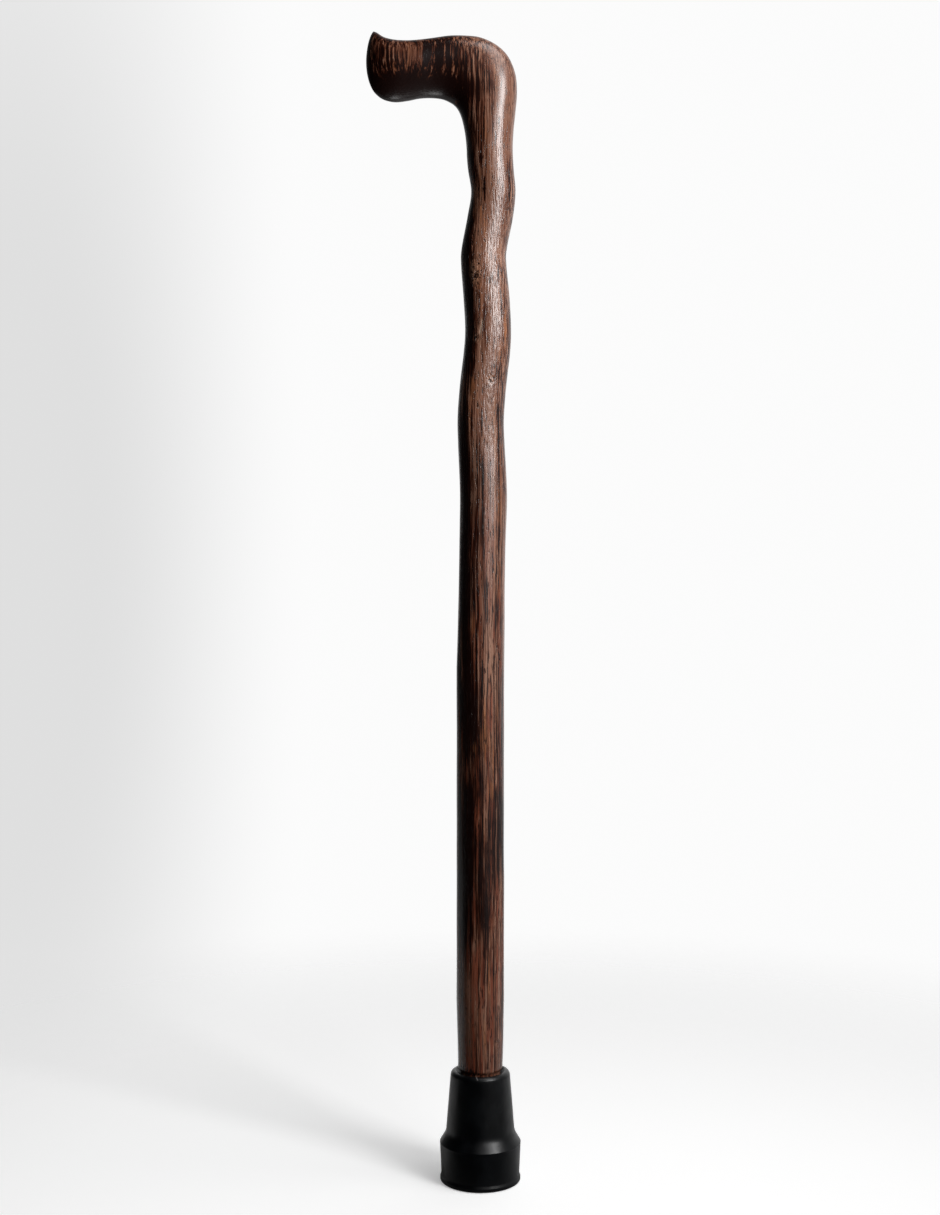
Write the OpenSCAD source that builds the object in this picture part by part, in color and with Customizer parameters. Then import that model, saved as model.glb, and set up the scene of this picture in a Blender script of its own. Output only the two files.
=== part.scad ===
// Walking cane: a stick carved from one piece of dark hardwood, with a pull-off rubber tip.
// Millimetres. The origin is the middle of the foot, on the floor. The stick stands along +Z,
// its handle points to -X, and the crooked stretch below the handle bends mostly in the XZ plane.

/* [Stick] */
// Height from the floor to the nose of the handle
overall_h = 860; // [780:5:960]
// Diameter of the straight lower shaft
shaft_d = 35.6; // [34.6:0.2:38]
// Diameter of the shaft where it ends above the rubber tip
neck_d = 33.4; // [31.4:0.2:34.4]
// Length over which the shaft narrows to that end
neck_l = 54; // [30:2:90]
// Height of the bevel between the end of the neck and the tenon
bevel_h = 2.2; // [1.2:0.2:4]
// Diameter of the tenon inside the rubber tip
tenon_d = 30; // [26:0.5:31]
// Bevel round the lower end of the tenon
tenon_bevel = 1; // [0.4:0.2:2]

/* [Handle] */
// Reach of the handle, from the axis of the shaft to its end
handle_reach = 85.6; // [76:0.4:100]
// Height of the grip under its hollow
grip_h = 43.8; // [38:0.2:50]
// Width of the grip across the hand
grip_w = 33; // [28:0.5:37]
// How much the grip narrows towards its underside, where 0 is as wide below as above
grip_taper = 0.42; // [0:0.02:0.5]
// Rise of the nose above the hollow of the grip
nose_rise = 8.2; // [5:0.2:12]
// How far the rounded end of the handle swells past its nose
end_swell = 5.6; // [3:0.2:8]

/* [Rubber tip] */
// Height of the rubber tip
tip_h = 81.5; // [72:0.5:95]
// Outer diameter at the rim round the mouth
rim_d = 44; // [42:0.5:47]
// Rounding of the outer edge of the rim
rim_round = 3.2; // [2:0.2:4]
// Diameter at the foot of the cone
cone_d = 51.4; // [49:0.2:54]
// Height of the foot of the cone
cone_z = 36; // [33:0.5:42]
// Diameter of the collar edge
collar_d = 60.6; // [59.4:0.2:66]
// Height of the collar edge
collar_z = 28.5; // [22:0.5:31]
// Diameter of the waist above the bottom bead
waist_d = 58.4; // [55:0.2:59]
// Diameter of the bottom bead
bead_d = 60; // [59.2:0.2:62]
// Height of the bottom bead
bead_h = 2.6; // [2:0.2:4]
// Width of the bevel inside the mouth
mouth_bevel = 3.4; // [2:0.2:4]
// Height of that bevel
mouth_bevel_h = 3.2; // [1:0.2:5]
// Rubber left under the socket
sole_t = 20; // [14:0.5:24]
// Radial gap between the tenon and the socket
socket_gap = 0.05; // [0.02:0.01:0.09]

/* [Tread] */
// Number of grooves in the sole
groove_n = 3; // [1:1:4]
// Width of each groove
groove_w = 2.6; // [1.6:0.2:3.2]
// Depth of each groove
groove_depth = 1.8; // [1:0.2:4]
// Distance from one groove to the next
groove_pitch = 5.8; // [4.4:0.2:6]
// Diameter of the land in the middle of the sole
land_d = 15; // [8:0.5:20]

/* [Washer] */
// Thickness of the steel washer
washer_t = 2; // [1:0.25:3]
// Diameter of its hole
washer_hole_d = 9; // [5:0.5:14]
// Radial gap between the washer and the socket
washer_gap = 0.4; // [0.2:0.1:1]
// Bevel on the washer's edges
washer_bevel = 0.3; // [0.1:0.1:0.4]

/* [Hidden] */

$fn = 96;

WOOD = "#4a2a1c";
RUBBER = "#17171a";
STEEL = "#b9bcc0";

// A little more than nothing, for cuts that pass through a face
EPS = 0.01;

shaft_r = shaft_d / 2;
tenon_r = tenon_d / 2;
socket_r = tenon_r + socket_gap;
washer_top = sole_t + washer_t;

// Heights of the grip's hollow and of its underside
hollow_z = overall_h - nose_rise;
under_z = hollow_z - grip_h;

// Points round each section of the carved upper part, and sections from one rib to the next
SECTION_N = 30;
RING_STEPS = 3;
// How far the carved part is sunk into the straight shaft, and how much slimmer it is there
SINK = 8;
SINK_STEP = 0.12;
// Half width of the last section at the handle's end, which closes it
END_HALF_W = 0.3;
// Roundness of the curve that the end of the handle follows, where 2 is an ellipse's
END_CURVE = 1.6;

// The crooked shaft, from the grip down. Each row holds the distance below the grip's underside,
// the bend to +X, the bend to +Y, and how much slimmer than the straight shaft it is along X and Y.
CROOK = [
  [52, 8.0, 0, 1.4, 1.6],
  [69, 9.8, 0.6, 2.3, 1.0],
  [87, 7.4, 1.3, 1.4, 1.8],
  [111, 2.9, 1.0, 1.6, 2.0],
  [123, 2.6, 0.3, 1.6, 1.4],
  [147, 4.6, -1.0, 1.0, 1.0],
  [171, 5.9, -1.8, 1.2, 1.6],
  [189, 4.9, -1.5, 0.8, 1.8],
  [213, 2.1, -0.5, 0.8, 1.2],
  [237, 0.5, 0.6, 0.9, 0.6],
  [257, 0.9, 1.2, 0.6, 0.8],
  [294, 2.3, 1.3, 0.3, 1.0],
  [330, 1.8, 0.6, 0.8, 0.8],
  [375, 1.0, 0, 0.9, 0.6],
  [407, 0.4, 0, 0.2, 0.2],
  [425, 0, 0, 0, 0]
];
crook_l = CROOK[len(CROOK) - 1][0];
straight_top = under_z - crook_l;

// The handle and the elbow as ribs, from the nose round to the neck of the shaft. A rib joins a
// point on the outer line, which runs over the top and down the back, with its partner on the inner
// line, which runs under the grip and down the front. Each row holds both points, the half width
// along Y, how far the section bows out towards the handle's end, its squareness and its taper.
function handle_ribs() =
  let (
    tip = -handle_reach,
    end = tip + end_swell,
    top = hollow_z,
    low = under_z,
    back = shaft_r,
    front = -shaft_r,
    grip = grip_w / 2,
    arm = shaft_r - 0.5,
    taper = grip_taper
  )
  [
    [end, top + nose_rise, end - 0.1, low + 7.6, 0, end_swell, 2.1, taper],
    [end + 0.7, top + nose_rise - 0.3, end + 1.4, low + 5.4, grip - 10, end_swell - 0.7, 2.1, taper],
    [end + 3.3, top + nose_rise - 1.8, end + 5.5, low + 1.9, grip - 5.2, end_swell - 2.4, 2.1, taper],
    [tip + 13.8, top + 2.8, tip + 16.1, low - 0.2, grip - 2.1, 1.5, 2.1, taper],
    [tip + 20.8, top + 0.6, tip + 22.4, low - 1, grip - 0.5, 0.4, 2.1, taper],
    [tip + 30.6, top, tip + 31.2, low, grip, 0, 2.1, taper],
    [tip + 41.6, top + 0.8, tip + 40.6, low + 1.6, grip, 0, 2.1, taper],
    [front - 15.2, top + 2.2, front - 18.7, low + 2.1, grip - 0.1, 0, 2.1, taper],
    [front - 3.7, top + 3.6, front - 11.5, low + 1.3, grip - 0.1, 0, 2.1, taper * 0.9],
    [back - 27.8, top + 3.8, front - 6, low - 0.7, arm - 0.8, 0, 2.1, taper * 0.7],
    [back - 16.3, top + 2, front - 1.6, low - 3.4, arm - 0.5, 0, 2.1, taper * 0.45],
    [back - 5.8, top - 2.6, front + 1.5, low - 7.4, arm - 0.3, 0, 2.1, taper * 0.2],
    [back + 3.2, top - 11.2, front + 3.6, low - 12.2, arm - 0.1, 0, 2.1, 0],
    [back + 8.5, top - 23.9, front + 5.1, low - 17.9, arm, 0, 2.1, 0],
    [back + 9.6, low + 6.1, front + 6.3, low - 23.9, arm, 0, 2.1, 0],
    [back + 8.5, low - 8.9, front + 7.1, low - 29.9, arm, 0, 2, 0],
    [back + 7.3, low - 21.9, front + 7.6, low - 36.4, arm - 0.1, 0, 2, 0],
    [back + 6.6, low - 36, front + 7.8, low - 42.5, arm - 0.2, 0, 2, 0]
  ];

// A rib as the spline needs it: its middle and its half length as vectors in the XZ plane, then
// the half width, the bow, the squareness, the shift along Y and the taper
function rib(outer, inner, half_w, bow, square, y, taper) =
  concat((outer + inner) / 2, (outer - inner) / 2, [half_w, bow, square, y, taper]);

function handle_rib(row) =
  rib([row[0], row[1]], [row[2], row[3]], row[4], row[5], row[6], 0, row[7]);

function crook_rib(row) =
  let (z = under_z - row[0], half = shaft_r - row[3] / 2)
  rib([row[1] + half, z], [row[1] - half, z], shaft_r - row[4] / 2, 0, 2, row[2], 0);

function sunk_rib(depth) =
  let (half = shaft_r - SINK_STEP, z = straight_top - depth)
  rib([half, z], [-half, z], half, 0, 2, 0, 0);

function all_ribs() = concat(
  [for (row = handle_ribs()) handle_rib(row)],
  [for (i = [0:len(CROOK) - 2]) crook_rib(CROOK[i])],
  [sunk_rib(0), sunk_rib(SINK)]
);

// The rib before the first one mirrors the second, so that the end of the handle closes roundly
function mirrored(r) = [for (i = [0:len(r) - 1]) i == 4 ? -r[i] : r[i]];

function spline(a, b, c, d, t) =
  (2 * b + (c - a) * t + (2 * a - 5 * b + 4 * c - d) * t * t + (3 * b - a - 3 * c + d) * t * t * t) / 2;

function smooth(ribs, steps) =
  let (last = len(ribs) - 1)
  concat(
    [for (i = [0:last - 1], s = [0:steps - 1])
      spline(i == 0 ? mirrored(ribs[1]) : ribs[i - 1], ribs[i], ribs[i + 1], ribs[min(i + 2, last)], s / steps)],
    [ribs[last]]
  );

function rounded_power(v, p) = sign(v) * pow(abs(v), p);

// How much wider than a plain section a tapered one would be at its widest
function widest(taper) =
  let (c = taper == 0 ? 0 : (sqrt(1 + 8 * taper * taper) - 1) / (4 * taper))
  sqrt(1 - c * c) * (1 + taper * c);

// One point of a section. The angle 0 is on the outer line and 180 on the inner line.
function section_point(r, angle) =
  let (
    c = rounded_power(cos(angle), 2 / r[6]),
    s = rounded_power(sin(angle), 2 / r[6]),
    length = norm([r[2], r[3]]),
    out = pow(1 - c * c, END_CURVE / 2) * r[5] / length,
    width = max(r[4], END_HALF_W) * (1 + r[8] * c) / widest(r[8])
  )
  [r[0] + r[2] * c - r[3] * out, r[7] + width * s, r[1] + r[3] * c + r[2] * out];

// Skin over the rings, a ladder of quads over the handle's end and a flat face at the bottom
function skin_faces(rings, n) = concat(
  [for (i = [0:rings - 2], k = [0:n - 1], half = [0, 1])
    let (a = i * n + k, b = i * n + (k + 1) % n)
    half == 0 ? [a, b, b + n] : [a, b + n, a + n]],
  [for (k = [0:n / 2 - 1])
    k == 0 ? [1, 0, n - 1] : k == n / 2 - 1 ? [k + 1, k, n - k] : [k + 1, k, n - k, n - k - 1]],
  [[for (k = [0:n - 1]) (rings - 1) * n + k]]
);

module carved_part() {
  rings = smooth(all_ribs(), RING_STEPS);
  points = [for (r = rings, k = [0:SECTION_N - 1]) section_point(r, 360 * k / SECTION_N)];
  polyhedron(points, skin_faces(len(rings), SECTION_N), convexity = 6);
}

// Lower shaft, neck and tenon, turned about the axis
module turned_part() {
  neck_z = tip_h + bevel_h;
  rotate_extrude()
    polygon([
      [0, washer_top],
      [tenon_r - tenon_bevel, washer_top],
      [tenon_r, washer_top + tenon_bevel],
      [tenon_r, tip_h],
      [neck_d / 2, neck_z],
      [shaft_r, neck_z + neck_l],
      [shaft_r, straight_top],
      [0, straight_top]
    ]);
}

module wooden_stick() {
  color(WOOD) {
    turned_part();
    carved_part();
  }
}

// The points of an outline whose corners are rounded: each corner is [x, z, radius]
function corner_arc(before, corner, after, steps = 6) =
  let (
    p = [corner[0], corner[1]],
    u = [before[0], before[1]] - p,
    v = [after[0], after[1]] - p,
    a = u / norm(u),
    b = v / norm(v),
    half = acos(a * b) / 2,
    to_edge = corner[2] / tan(half),
    centre = p + (a + b) / norm(a + b) * corner[2] / sin(half),
    start = p + a * to_edge - centre,
    stop = p + b * to_edge - centre
  )
  corner[2] == 0 ? [p] :
    [for (i = [0:steps]) let (m = start * (steps - i) + stop * i) centre + m / norm(m) * corner[2]];

function rounded_outline(corners) =
  let (n = len(corners))
  [for (i = [0:n - 1]) each corner_arc(corners[(i + n - 1) % n], corners[i], corners[(i + 1) % n])];

// Radii of the small edges of the rubber tip
BEAD_ROUND = 0.9;
BEAD_TOP_ROUND = 0.5;
WAIST_ROUND = 2.5;
COLLAR_ROUND = 0.5;
FLARE_ROUND = 12;
LIP_ROUND = 0.8;

module tip_body() {
  rotate_extrude()
    polygon(rounded_outline([
      [0, 0, 0],
      [bead_d / 2, 0, BEAD_ROUND],
      [bead_d / 2, bead_h, BEAD_TOP_ROUND],
      [waist_d / 2, bead_h + 2, WAIST_ROUND],
      [collar_d / 2, collar_z, COLLAR_ROUND],
      [cone_d / 2, cone_z, FLARE_ROUND],
      [rim_d / 2, tip_h, rim_round],
      [socket_r + mouth_bevel, tip_h, LIP_ROUND],
      [socket_r, tip_h - mouth_bevel_h, 0],
      [socket_r, sole_t, 0],
      [0, sole_t, 0]
    ]));
}

module tread_groove(inner_r) {
  difference() {
    translate([0, 0, -EPS])
      cylinder(h = groove_depth + EPS, r = inner_r + groove_w);
    translate([0, 0, -2 * EPS])
      cylinder(h = groove_depth + 3 * EPS, r = inner_r);
  }
}

module rubber_tip() {
  color(RUBBER)
    difference() {
      tip_body();
      for (i = [0:groove_n - 1])
        tread_groove(land_d / 2 + i * groove_pitch);
    }
}

module tip_washer() {
  outer_r = socket_r - washer_gap;
  hole_r = washer_hole_d / 2;
  color(STEEL)
    rotate_extrude()
      polygon([
        [hole_r, sole_t + washer_bevel],
        [hole_r + washer_bevel, sole_t],
        [outer_r - washer_bevel, sole_t],
        [outer_r, sole_t + washer_bevel],
        [outer_r, washer_top - washer_bevel],
        [outer_r - washer_bevel, washer_top],
        [hole_r + washer_bevel, washer_top],
        [hole_r, washer_top - washer_bevel]
      ]);
}

wooden_stick();
rubber_tip();
tip_washer();
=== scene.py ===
# A walking cane carved from one piece of dark, striped hardwood, with a black rubber tip.
# Lengths in the tables are millimetres. The frame and every mesh are metres.
import math

import bmesh
import bpy
import numpy as np
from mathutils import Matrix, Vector, noise


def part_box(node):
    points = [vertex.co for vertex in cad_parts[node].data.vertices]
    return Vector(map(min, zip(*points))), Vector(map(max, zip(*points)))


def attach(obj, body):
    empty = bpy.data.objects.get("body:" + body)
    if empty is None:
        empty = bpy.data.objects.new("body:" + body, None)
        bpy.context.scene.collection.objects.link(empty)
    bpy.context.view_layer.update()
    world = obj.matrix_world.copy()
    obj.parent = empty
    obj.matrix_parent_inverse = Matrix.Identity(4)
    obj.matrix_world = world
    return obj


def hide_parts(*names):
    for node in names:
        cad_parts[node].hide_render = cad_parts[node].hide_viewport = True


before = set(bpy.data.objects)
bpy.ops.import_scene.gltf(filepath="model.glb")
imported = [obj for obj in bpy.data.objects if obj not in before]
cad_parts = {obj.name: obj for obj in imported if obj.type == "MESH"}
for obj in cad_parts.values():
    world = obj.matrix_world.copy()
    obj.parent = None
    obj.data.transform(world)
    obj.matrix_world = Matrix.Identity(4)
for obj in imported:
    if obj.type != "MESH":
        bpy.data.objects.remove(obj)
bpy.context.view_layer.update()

MM = 0.001

# The camera stands level, and sees the whole cane from a little over a metre away
IMAGE_W = 940
IMAGE_H = 1215
SENSOR_MM = 36
CAMERA_AT = (-0.0077, -1.157, 0.428)
FOCAL_PX = 1543

# Sizes that come from the frame
stick_low, stick_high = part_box("wooden_stick")
tip_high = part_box("rubber_tip")[1]
NOSE_Z = stick_high.z / MM
REACH = -stick_low.x / MM
TENON_END_Z = stick_low.z / MM
TIP_H = tip_high.z / MM
COLLAR_R = tip_high.x / MM

# Sizes of the stick
SHAFT_R = 17.8
NECK_R = 16.7
NECK_L = 54
BEVEL_H = 2.2
TENON_R = 15
TENON_BEVEL = 1
TENON_SLACK = 0.02
GRIP_H = 43.8
GRIP_W = 33
GRIP_TAPER = 0.42
NOSE_RISE = 8.2
END_SWELL = 5.6
END_CURVE = 1.6

# Sizes of the rubber tip
RIM_R = 22
CONE_R = 25.7
CONE_Z = 36
COLLAR_Z = 28.5
WAIST_R = 29.2
BEAD_R = 30
BEAD_H = 2.6
SOCKET_R = 15.05
MOUTH_BEVEL = 3.4
MOUTH_BEVEL_H = 3.2
SOLE_T = 20
GROOVE_W = 2.6
GROOVE_DEPTH = 1.8
GROOVE_PITCH = 5.8
GROOVE_N = 3
LAND_R = 7.5
# Slight swells of the rubber's outside. Each row: height and size.
TIP_SWELLS = [(0.10, 9), (0.03, 2.5)]

# Mesh density: points round the stick and the tip, the spacing of rings along the stick and of points
# along the tip's outline, the steps that measure the carved part's length, and what is merged at poles
STICK_SIDES = 112
RING_SPACING = 1.5
TIP_SIDES = 144
TIP_SPACING = 1.6
MEASURE_STEPS = 1200
MERGE = 0.02

# The crooked shaft. Each row: distance below the grip's underside, bend to +X, bend to +Y,
# and how much slimmer than the straight shaft it is along X and Y.
CROOK = [
    (52, 8.0, 0, 1.4, 1.6),
    (69, 9.8, 0.6, 2.3, 1.0),
    (87, 7.4, 1.3, 1.4, 1.8),
    (111, 2.9, 1.0, 1.6, 2.0),
    (123, 2.6, 0.3, 1.6, 1.4),
    (147, 4.6, -1.0, 1.0, 1.0),
    (171, 5.9, -1.8, 1.2, 1.6),
    (189, 4.9, -1.5, 0.8, 1.8),
    (213, 2.1, -0.5, 0.8, 1.2),
    (237, 0.5, 0.6, 0.9, 0.6),
    (257, 0.9, 1.2, 0.6, 0.8),
    (294, 2.3, 1.3, 0.3, 1.0),
    (330, 1.8, 0.6, 0.8, 0.8),
    (375, 1.0, 0, 0.9, 0.6),
    (407, 0.4, 0, 0.2, 0.2),
    (425, 0, 0, 0, 0),
]

# Marks in the wood's face. Each row: kind, side, x, z, half width, half length, strength.
# The side is -1 on the front, +1 on the back and 0 where the mark wraps a flank.
MARKS = [
    ("burr", -1, -3.8, 676, 5.0, 12, 1.0),
    ("pit", -1, -2.5, 674, 1.3, 2.4, 1.0),
    ("crack", -1, 0.6, 635, 1.0, 7, 0.9),
    ("burr", -1, -2.8, 627, 2.6, 4, 0.7),
    ("burr", -1, 8.3, 597, 4.0, 5, 0.6),
    ("pit", -1, 4.8, 548, 0.9, 3.2, 0.4),
    ("dash", -1, -1.7, 507.6, 5.0, 0.9, 0.9),
    ("streak", -1, 14.2, 505, 1.8, 20, 0.7),
    ("streak", -1, 18.4, 634, 2.0, 18, 0.8),
    ("pit", -1, 12.7, 399.4, 1.0, 1.9, 1.0),
    ("pit", -1, 13.8, 386.8, 0.9, 2.4, 0.8),
    ("streak", -1, 3.8, 331, 5.0, 12, 0.55),
    ("streak", -1, -5.5, 590, 2.4, 12, 0.7),
    ("streak", -1, 8.3, 292, 1.8, 9, 1.0),
    ("streak", -1, -4.3, 324, 1.4, 5, 0.7),
    ("streak", -1, -5.4, 415, 1.8, 10, 0.5),
    ("pit", -1, 13.5, 131, 0.8, 1.4, 0.7),
    ("burr", 1, 6.0, 702, 4.0, 8, 0.9),
    ("pit", 1, 5.4, 704, 1.4, 2.6, 1.0),
    ("burr", 1, -5.0, 566, 3.6, 7, 0.8),
    ("crack", 1, 3.5, 610, 1.0, 9, 0.8),
    ("streak", 1, -8.0, 470, 2.2, 22, 0.8),
    ("streak", 1, 6.5, 300, 2.6, 16, 0.8),
    ("pit", 1, -7.0, 236, 1.0, 2.2, 0.9),
    ("pit", 1, 9.0, 352, 1.0, 2.6, 0.8),
    ("dash", 1, 3.0, 420, 4.0, 0.9, 0.7),
]

# What a mark adds where it is strongest: height, warmth, darkness, paleness and lumpiness
MARK_EFFECTS = {
    "burr": (0.25, 0.5, 0, 0.12, 2),
    "pit": (-0.75, 0, 1.0, 0, 0),
    "crack": (-0.4, 0.2, 0, 0.8, 0),
    "dash": (-0.25, 0, 0.9, 0, 0),
    "streak": (0.05, 1, 0, 0, 0),
}
BURR_LUMPS = 0.4
# How far a crack sways to its sides, and how fast along its half length
CRACK_SWAY = 0.9
CRACK_TURN = 2.2
# The noise that breaks up a mark's edge: its grain along X, Y and Z, and its share of the mark's reach
MARK_GRIT = (1.1, 1.1, 1.9)
MARK_RAGGED = 0.3

# Broad zones of the wood's colour, a few of them painted light and shade, as marked below. Each row: tone,
# side, x, z, half width, half length, strength.
ZONES = [
    # Painted shade: this row and its twin on the back darken the lower half of the grip, which turns down
    # away from the light
    ("dark", -1, -50.0, 813, 50.0, 11, 1.0),
    ("dark", -1, -13.5, 785, 5.0, 45, 1.0),
    ("dark", -1, -6.5, 775, 3.0, 20, 0.6),
    ("dark", -1, -9.5, 720, 3.5, 40, 0.9),
    ("dark", -1, -9.4, 640, 4.6, 50, 0.9),
    ("dark", -1, -11.6, 548, 3.6, 42, 1.0),
    ("dark", -1, -2.5, 512, 4.5, 48, 0.4),
    ("dark", -1, 15.5, 505, 3.0, 50, 0.2),
    ("dark", -1, -11.0, 470, 4.0, 70, 1.0),
    ("dark", -1, -5.0, 468, 2.6, 58, 0.55),
    ("dark", -1, 1.5, 430, 3.5, 30, 0.3),
    ("dark", -1, -9.5, 360, 5.0, 60, 1.0),
    ("dark", -1, -3.0, 345, 3.5, 40, 0.5),
    ("dark", -1, 14.0, 340, 3.0, 50, 0.4),
    ("dark", -1, 1.5, 315, 3.0, 30, 0.35),
    ("dark", -1, -3.0, 312, 6.0, 34, 0.5),
    ("dark", -1, 12.0, 262, 6.5, 36, 0.5),
    ("dark", -1, -10.0, 240, 6.0, 70, 0.9),
    ("dark", -1, 2.0, 225, 7.0, 40, 0.5),
    ("light", -1, -53.0, 838, 11.0, 10, 0.7),
    # Partly lighter wood and partly a painted sheen: the next two lighten the elbow and wash out its
    # stripes where its highlight lies
    ("light", -1, 13.0, 836, 10.0, 15, 0.7),
    ("light", -1, 19.0, 794, 11.0, 40, 1.0),
    ("light", -1, 5.0, 770, 6.0, 26, 0.7),
    ("light", -1, 13.0, 740, 8.0, 50, 0.8),
    ("light", -1, 4.0, 700, 9.0, 52, 1.0),
    ("light", -1, 9.5, 640, 6.0, 38, 0.8),
    ("light", -1, 3.0, 578, 7.5, 45, 1.0),
    ("light", -1, 6.5, 520, 5.0, 38, 0.6),
    # Painted light: the next two lighten the foot of the shaft where the lamp's light falls off, the second
    # along its left flank, which the floor lights
    ("light", -1, 6.0, 125, 9.0, 30, 0.5),
    ("light", -1, -11.0, 120, 7.5, 50, 0.9),
    ("warm", -1, 1.0, 745, 5.0, 45, 0.8),
    ("warm", -1, 16.0, 600, 4.0, 70, 0.5),
    ("warm", -1, -5.0, 575, 5.0, 25, 0.8),
    ("warm", -1, 14.0, 480, 4.0, 60, 0.5),
    ("warm", -1, 5.0, 325, 9.0, 45, 1.0),
    ("warm", -1, 6.0, 140, 8.0, 40, 0.8),
    # Painted shade on the lower half of the grip's back, as on its front
    ("dark", 1, -50.0, 809, 50.0, 14, 1.0),
    ("dark", 1, -9.0, 560, 5.0, 90, 0.8),
    ("dark", 1, 8.0, 330, 6.0, 110, 0.8),
    ("light", 1, 5.0, 690, 9.0, 60, 0.8),
    ("warm", 1, 4.0, 480, 7.0, 60, 0.9),
    ("warm", 1, -6.0, 230, 7.0, 60, 0.8),
]
# The noise that breaks up a zone's edge, as for a mark, and where the zone ends and how softly
ZONE_GRIT = (3, 3, 30)
ZONE_RAGGED = 0.35
ZONE_REACH = 1.25
ZONE_SOFT = 0.5

# The wood's layers stand upright through the handle, and bow apart about this point on its side. Up to
# EYE_TALL over and under it they close up again, less where EYE_PINCH is larger and later where EYE_CURVE
# is, and from EYE_NEAR to EYE_FAR beside it the bow fades out.
EYE_X = -53
EYE_Z = 838
EYE_PINCH = 25
EYE_TALL = 17
EYE_NEAR = 16
EYE_FAR = 38
EYE_CURVE = 4

# The hand-worked face is made of layers of drawn-out noise. Each row: height, width, length and seed.
BROAD_FACE = (0.28, 13, 42, 4.1)
FACETS = (0.13, 5.5, 24, 9.7)
RIDGES = (0.07, 2.1, 34, 2.3)
# Just above the tip the face is plain: how far above it the carving starts, and over what length it rises
PLAIN_H = 1.5
PLAIN_FADE = 4
# The hand has worn the grip smooth, from the first z up to the second, and what it left of the carving
# and of the finer relief
GRIP_WORN = (770, 805)
WORN_FACE = 0.3
WORN_RELIEF = 0.2

# Single stripes along the grain, narrower towards both ends. Each row: tone, x, z, half width, half
# length, strength. Those of the handle go through to the back. Those of the shaft show on its front.
HANDLE_STRIPES = [
    ("dark", -74.6, 836, 0.6, 9, 0.8),
    ("dark", -68.9, 836, 1.1, 11, 1.0),
    ("dark", -65.9, 834, 0.8, 10, 0.8),
    ("light", -64.5, 834, 0.5, 10, 0.7),
    ("dark", -61.5, 832, 0.6, 8, 0.8),
    ("dark", -57.2, 832, 0.4, 8, 0.7),
    ("dark", -54.6, 834, 0.4, 7, 0.6),
    ("dark", -40.2, 838, 2.7, 10, 1.0),
    ("light", -35.6, 834, 1.3, 11, 1.0),
    ("dark", -30.4, 836, 3.0, 12, 1.0),
    ("light", -26.4, 832, 0.8, 12, 0.8),
    ("dark", -23.9, 836, 1.0, 12, 1.0),
    ("dark", -21.4, 834, 0.5, 12, 0.8),
    ("dark", -18.6, 834, 0.5, 12, 0.8),
    ("light", -13.2, 828, 1.4, 17, 0.9),
    ("dark", -10.6, 820, 0.9, 20, 0.9),
]
SHAFT_STRIPES = [
    ("light", -8.3, 812, 0.6, 26, 0.8),
    ("light", -4.0, 800, 0.7, 30, 0.7),
    ("dark", -6.2, 812, 0.8, 24, 0.9),
    ("dark", -2.8, 790, 0.7, 30, 0.8),
    ("dark", 2.6, 782, 0.6, 14, 0.7),
    ("light", 3.9, 808, 0.6, 20, 0.7),
    ("dark", 3.2, 738, 0.8, 10, 1.0),
    ("dark", 1.0, 565, 0.6, 12, 0.9),
    ("dark", 1.6, 522, 0.8, 20, 0.7),
    ("dark", -3.0, 395, 0.8, 26, 1.0),
    ("dark", 1.5, 375, 0.6, 16, 0.9),
    ("dark", -4.5, 330, 1.0, 14, 0.9),
]


def handle_ribs():
    """Ribs from the handle's nose round to the neck.

    Each row: outer x and z, inner x and z, half width, bow, squareness and taper.
    """
    tip = -REACH
    end = tip + END_SWELL
    top = NOSE_Z - NOSE_RISE
    low = top - GRIP_H
    back = SHAFT_R
    front = -SHAFT_R
    grip = GRIP_W / 2
    arm = SHAFT_R - 0.5
    taper = GRIP_TAPER
    return [
        (end, top + NOSE_RISE, end - 0.1, low + 7.6, 0, END_SWELL, 2.1, taper),
        (end + 0.7, top + NOSE_RISE - 0.3, end + 1.4, low + 5.4, grip - 10, END_SWELL - 0.7, 2.1, taper),
        (end + 3.3, top + NOSE_RISE - 1.8, end + 5.5, low + 1.9, grip - 5.2, END_SWELL - 2.4, 2.1, taper),
        (tip + 13.8, top + 2.8, tip + 16.1, low - 0.2, grip - 2.1, 1.5, 2.1, taper),
        (tip + 20.8, top + 0.6, tip + 22.4, low - 1, grip - 0.5, 0.4, 2.1, taper),
        (tip + 30.6, top, tip + 31.2, low, grip, 0, 2.1, taper),
        (tip + 41.6, top + 0.8, tip + 40.6, low + 1.6, grip, 0, 2.1, taper),
        (front - 15.2, top + 2.2, front - 18.7, low + 2.1, grip - 0.1, 0, 2.1, taper),
        (front - 3.7, top + 3.6, front - 11.5, low + 1.3, grip - 0.1, 0, 2.1, taper * 0.9),
        (back - 27.8, top + 3.8, front - 6, low - 0.7, arm - 0.8, 0, 2.1, taper * 0.7),
        (back - 16.3, top + 2, front - 1.6, low - 3.4, arm - 0.5, 0, 2.1, taper * 0.45),
        (back - 5.8, top - 2.6, front + 1.5, low - 7.4, arm - 0.3, 0, 2.1, taper * 0.2),
        (back + 3.2, top - 11.2, front + 3.6, low - 12.2, arm - 0.1, 0, 2.1, 0),
        (back + 8.5, top - 23.9, front + 5.1, low - 17.9, arm, 0, 2.1, 0),
        (back + 9.6, low + 6.1, front + 6.3, low - 23.9, arm, 0, 2.1, 0),
        (back + 8.5, low - 8.9, front + 7.1, low - 29.9, arm, 0, 2, 0),
        (back + 7.3, low - 21.9, front + 7.6, low - 36.4, arm - 0.1, 0, 2, 0),
        (back + 6.6, low - 36, front + 7.8, low - 42.5, arm - 0.2, 0, 2, 0),
    ]


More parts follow.
